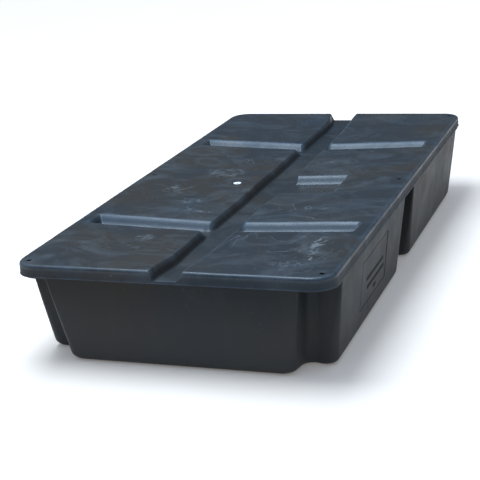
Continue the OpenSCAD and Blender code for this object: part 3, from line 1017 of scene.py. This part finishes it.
# Dried splashes and scratches on the deck: x, y, half width, half length, strength.
STAINS = [(0.452, -0.835, 0.030, 0.085, 0.46), (0.458, -0.925, 0.018, 0.050, 0.36),
          (0.460, -1.000, 0.018, 0.030, 0.46), (0.405, -1.060, 0.085, 0.040, 0.24),
          (-0.359, -0.165, 0.050, 0.060, 0.36), (-0.247, -0.339, 0.065, 0.040, 0.22),
          (-0.128, -0.468, 0.055, 0.006, 0.50), (-0.239, -0.815, 0.045, 0.045, 0.22),
          (-0.245, 0.085, 0.110, 0.090, 0.18), (0.244, 0.293, 0.110, 0.050, 0.12)]


def black_plastic(name, deck):
    """Weathered black polyethylene: brown and blue film, wipe marks, dried drops and moulded grain.

    The deck also has scratches, splashes, rubbed edges with a painted highlight, a painted sky reflection on
    steep walls and painted shade in the channel, and the walls are lighter towards the bottom."""
    n = Nodes(name)
    brown, blue, pale = rgb(0.0160, 0.0135, 0.0108), rgb(0.0052, 0.0112, 0.0170), rgb(0.23, 0.26, 0.29)
    dust = rgb(0.050, 0.060, 0.070) if deck else rgb(0.060, 0.061, 0.062)
    tint = n.curve(n.noise(1.9, 4, 0.5, 0.9), (0.38, 0), (0.57, 1) if deck else (0.72, 1))
    sweep = n.mapped((2.0, 3.0, 1.0), (0, 0, 0.5)) if deck else n.mapped((3.5, 3.5, 0.7))
    haze = n.curve(n.noise(1.9, 8, 0.64, 1.6, sweep), (0.46, 0), (0.70, 1))
    film = n.times(haze, 0.50 if deck else 0.16)
    base = n.mix(film, n.mix(tint, brown, blue), dust)
    marks = n.mapped((3.0, 9.0, 2.0), (0, 0, -0.45)) if deck else n.mapped((26.0, 26.0, 1.4))
    strokes = n.curve(n.noise(2.2, 8, 0.74, 0.8, marks), (0.63, 0), (0.74, 1))
    patch = n.curve(n.noise(5.0, 3, 0.5), (0.54, 0), (0.68, 1))
    drops = n.times(n.curve(n.cells(52), (0.07, 1), (0.18, 0)), patch)
    groups = n.curve(n.noise(9, 2), (0.50, 0), (0.60, 1))
    specks = n.times(n.curve(n.cells(31), (0.035, 1), (0.085, 0)), groups)
    drops = n.plus(n.times(drops, 0.30 if deck else 0.20), n.times(specks, 0.55 if deck else 0.20))
    scuffs = n.plus(n.times(strokes, 0.24 if deck else 0.10), drops)
    if deck:
        scuffs = n.plus(scuffs, n.times(scratches(n), 0.30))
        splash = n.curve(n.noise(24, 5, 0.65, 1.4), (0.47, 0), (0.58, 1))
        for x, y, rx, ry, strength in STAINS:
            spot = n.times(n.spot(x, y, rx, ry), strength)
            scuffs = n.plus(scuffs, n.times(spot, splash))
    base = n.mix(scuffs, base, pale)
    gloss = n.curve(n.noise(5, 5, 0.6, 1.0), (0.3, 0.30 if deck else 0.42), (0.75, 0.44 if deck else 0.56))
    rough = n.plus(gloss, n.times(film, 0.35))
    if deck:
        # Pale blue on crests and the rim: rubbed plastic with a painted highlight.
        rub_and_highlight = n.times(n.attribute("wear"), n.curve(n.noise(23, 4, 0.6, 0.5), (0.30, 0.35), (0.70, 1)))
        # Painted blue sky reflection on steep walls.
        base = n.mix(n.times(n.attribute("wall"), 0.44), base, rgb(0.058, 0.084, 0.118))
        base = n.mix(n.times(rub_and_highlight, 0.34), base, rgb(0.105, 0.145, 0.195))
        # Near-black painted shade in the channel's hollow foot lines and on its bed.
        base = n.mix(n.times(n.attribute("grime"), 0.85), base, rgb(0.0035, 0.004, 0.005))
        rough = n.plus(rough, n.times(n.attribute("grime"), 0.25))
        rough = n.plus(rough, n.times(n.attribute("skirt"), 0.30))
    else:
        # Lighter towards the bottom.
        low = n.curve(n.along("Z"), (0.0, 0.85), (0.30, 0.15))
        base = n.mix(low, base, rgb(0.053, 0.055, 0.058))
    grain = n.bump(n.noise(900, 2, 0.5), 0.10, 0.0004)
    wavy = n.bump(n.noise(6, 2, 0.4), 0.14, 0.005, grain)
    normal = n.bump(scuffs, 0.12, 0.0006, wavy)
    return n.set(color=base, rough=rough, normal=normal, spec=0.34 if deck else 0.14)


def scratches(n):
    """Thin curling lines, in patches on the pads only."""
    where = n.curve(n.noise(3.1, 3, 0.5, 0.4, n.mapped((1, 1, 1), (0.3, 0.2, 1.1))), (0.55, 0), (0.70, 1))
    curls = n.times(n.lines(n.noise(5.0, 2, 0.5, 1.2), 0.010), where)
    return n.times(curls, n.curve(n.along("Z"), (0.362, 0), (0.366, 1)))


def bar_shade_plastic():
    """Near-black blotched plastic that paints shade on the label's raised bars."""
    n = Nodes("black_pe_bar_shade")
    patch = n.curve(n.noise(60, 4, 0.6, 0.4), (0.4, 0), (0.7, 1))
    base = n.mix(patch, rgb(0.0045, 0.005, 0.006), rgb(0.014, 0.014, 0.014))
    return n.set(color=base, rough=0.7, spec=0.12, normal=n.bump(n.noise(700, 2, 0.5), 0.1, 0.0004))


def white_plastic():
    n = Nodes("white_plug")
    grime = n.curve(n.noise(90, 4, 0.6, 0.6), (0.45, 0), (0.8, 1))
    base = n.mix(n.times(grime, 0.25), rgb(0.83, 0.87, 0.89), rgb(0.50, 0.50, 0.47))
    edge = n.curve(n.times(n.from_axis(*PORT), 40), (0.62, 0), (0.70, 1))
    base = n.mix(edge, base, rgb(0.035, 0.036, 0.037))
    rough = n.curve(n.noise(160, 3, 0.5), (0.3, 0.28), (0.7, 0.42))
    return n.set(color=base, rough=rough, normal=n.bump(n.noise(700, 2, 0.5), 0.06, 0.0003))


def dark_fitting():
    n = Nodes("dark_fitting")
    wear = n.curve(n.noise(70, 5, 0.6, 0.5), (0.50, 0), (0.75, 1))
    base = n.mix(n.times(wear, 0.4), rgb(0.016, 0.018, 0.021), rgb(0.075, 0.078, 0.08))
    rough = n.curve(n.noise(120, 3, 0.5), (0.3, 0.36), (0.7, 0.52))
    return n.set(color=base, rough=rough, normal=n.bump(n.noise(800, 2, 0.5), 0.08, 0.0003))


def grey_pipe():
    n = Nodes("grey_pipe")
    haze = n.curve(n.noise(14, 5, 0.6, 0.8, n.mapped((1, 1, 0.25))), (0.35, 0), (0.75, 1))
    base = n.mix(haze, rgb(0.20, 0.215, 0.23), rgb(0.30, 0.31, 0.32))
    scuff = n.curve(n.noise(30, 6, 0.7, 0.5, n.mapped((1, 1, 0.12))), (0.64, 0), (0.72, 1))
    base = n.mix(n.times(scuff, 0.35), base, rgb(0.5, 0.5, 0.5))
    rough = n.curve(haze, (0, 0.38), (1, 0.55))
    return n.set(color=base, rough=rough, normal=n.bump(n.noise(600, 2, 0.5), 0.08, 0.0003))


def black_rubber():
    n = Nodes("rubber")
    bloom = n.curve(n.noise(40, 5, 0.6, 0.6), (0.4, 0), (0.8, 1))
    base = n.mix(n.times(bloom, 0.5), rgb(0.012, 0.012, 0.013), rgb(0.06, 0.06, 0.06))
    rough = n.curve(bloom, (0, 0.62), (1, 0.8))
    return n.set(color=base, rough=rough, normal=n.bump(n.noise(1200, 2, 0.6), 0.2, 0.0003))


def pale_floor():
    """Pale matt floor that glows, more brightly away from the object, which whitens it."""
    n = Nodes("studio_floor")
    tone = n.curve(n.noise(1.3, 3, 0.5), (0.3, 0), (0.7, 1))
    n.bsdf.inputs["Emission Color"].default_value = rgb(1.0, 0.97, 0.94)
    glow = n.curve(n.times(n.from_axis(), 0.1), (0.12, 0.14), (0.42, 0.60))
    n.link(glow, n.bsdf.inputs["Emission Strength"])
    return n.set(color=n.mix(tone, rgb(0.84, 0.72, 0.63), rgb(0.88, 0.76, 0.67)), rough=0.9, spec=0.1)


# ---------------------------------------------------------------- stage, light and camera

# The world's colour by the height of the direction: 0 is level, 1 is straight up.
SKY = [(0.0, (0.22, 0.22, 0.22)), (0.36, (0.18, 0.20, 0.23)), (0.72, (0.48, 0.64, 0.86)),
       (0.92, (0.58, 0.78, 1.04)), (1.0, (0.50, 0.66, 0.88))]
FLOOR_HALF = 30.0
CAMERA_PLACE = (1.6846, -4.7786, 1.768)
CAMERA_LENS = 91.34
CAMERA_AIM = (71.815, 4.551, 19.753)


def make_stage():
    floor = bpy.data.meshes.new("studio_floor")
    corners = [(sx * FLOOR_HALF, sy * FLOOR_HALF, 0) for sx, sy in ((-1, -1), (1, -1), (1, 1), (-1, 1))]
    floor.from_pydata(corners, [], [(0, 1, 2, 3)])
    floor.materials.append(pale_floor())
    obj = bpy.data.objects.new("studio_floor", floor)
    bpy.context.collection.objects.link(obj)
    bpy.context.scene.world = studio_sky()
    bpy.context.scene.view_settings.view_transform = "Standard"


def studio_sky():
    """Soft surroundings: dim and neutral near the horizon, with a cool bright band high up."""
    world = bpy.data.worlds.new("studio")
    world.use_nodes = True
    tree = world.node_tree
    direction = tree.nodes.new("ShaderNodeTexCoord").outputs["Generated"]
    split = tree.nodes.new("ShaderNodeSeparateXYZ")
    blend = tree.nodes.new("ShaderNodeValToRGB")
    stops = blend.color_ramp.elements
    while len(stops) < len(SKY):
        stops.new(0.5)
    for stop, (position, colour) in zip(stops, SKY):
        stop.position, stop.color = position, rgb(*colour)
    tree.links.new(direction, split.inputs[0])
    tree.links.new(split.outputs["Z"], blend.inputs[0])
    tree.links.new(blend.outputs[0], tree.nodes["Background"].inputs[0])
    return world


def area_light(name, place_, target, size, watts, colour):
    data = bpy.data.lights.new(name, "AREA")
    data.shape = "RECTANGLE"
    data.size, data.size_y = size
    data.energy = watts
    data.color = colour
    obj = bpy.data.objects.new(name, data)
    obj.location = place_
    obj.rotation_mode = "QUATERNION"
    obj.rotation_quaternion = (Vector(target) - Vector(place_)).to_track_quat("-Z", "Y")
    bpy.context.collection.objects.link(obj)


def make_lights():
    area_light("overhead", (-0.8, -0.2, 4.2), (-0.1, -0.1, 0.3), (3.2, 2.4), 260, (0.72, 0.87, 1.0))
    area_light("side", (4.5, 1.5, 2.2), (0, 0, 0.2), (2.0, 1.5), 5, (1.0, 0.93, 0.84))


def make_camera():
    data = bpy.data.cameras.new("camera")
    data.lens = CAMERA_LENS
    data.sensor_width = 36.0
    data.clip_start, data.clip_end = 0.05, 100.0
    cam = bpy.data.objects.new("camera", data)
    cam.location = CAMERA_PLACE
    cam.rotation_mode = "XYZ"
    cam.rotation_euler = Euler([math.radians(a) for a in CAMERA_AIM])
    bpy.context.collection.objects.link(cam)
    bpy.context.scene.camera = cam


# ---------------------------------------------------------------- build

deck_black = black_plastic("black_pe_deck", True)
wall_black = black_plastic("black_pe_walls", False)
white = white_plastic()
fitting = dark_fitting()
pipe = grey_pipe()
rubber = black_rubber()

make_camera()
make_lights()
make_stage()

make_deck(deck_black)
make_tub(wall_black)
make_gasket(rubber)
for column in COLUMNS:
    make_column(column, pipe)
make_label(wall_black, bar_shade_plastic())

port_matrix = Matrix.Translation((PORT[0], PORT[1], PORT_Z))
make_insert("port_insert", fitting, port_matrix, "deck")
make_seal("port_seal", rubber, port_matrix)
make_plug("port_plug", white, port_matrix, grip=False)
make_insert("drain_insert", fitting, drain_matrix(), "sump")
make_seal("drain_seal", rubber, drain_matrix())
make_plug("drain_plug", fitting, drain_matrix(), grip=True)
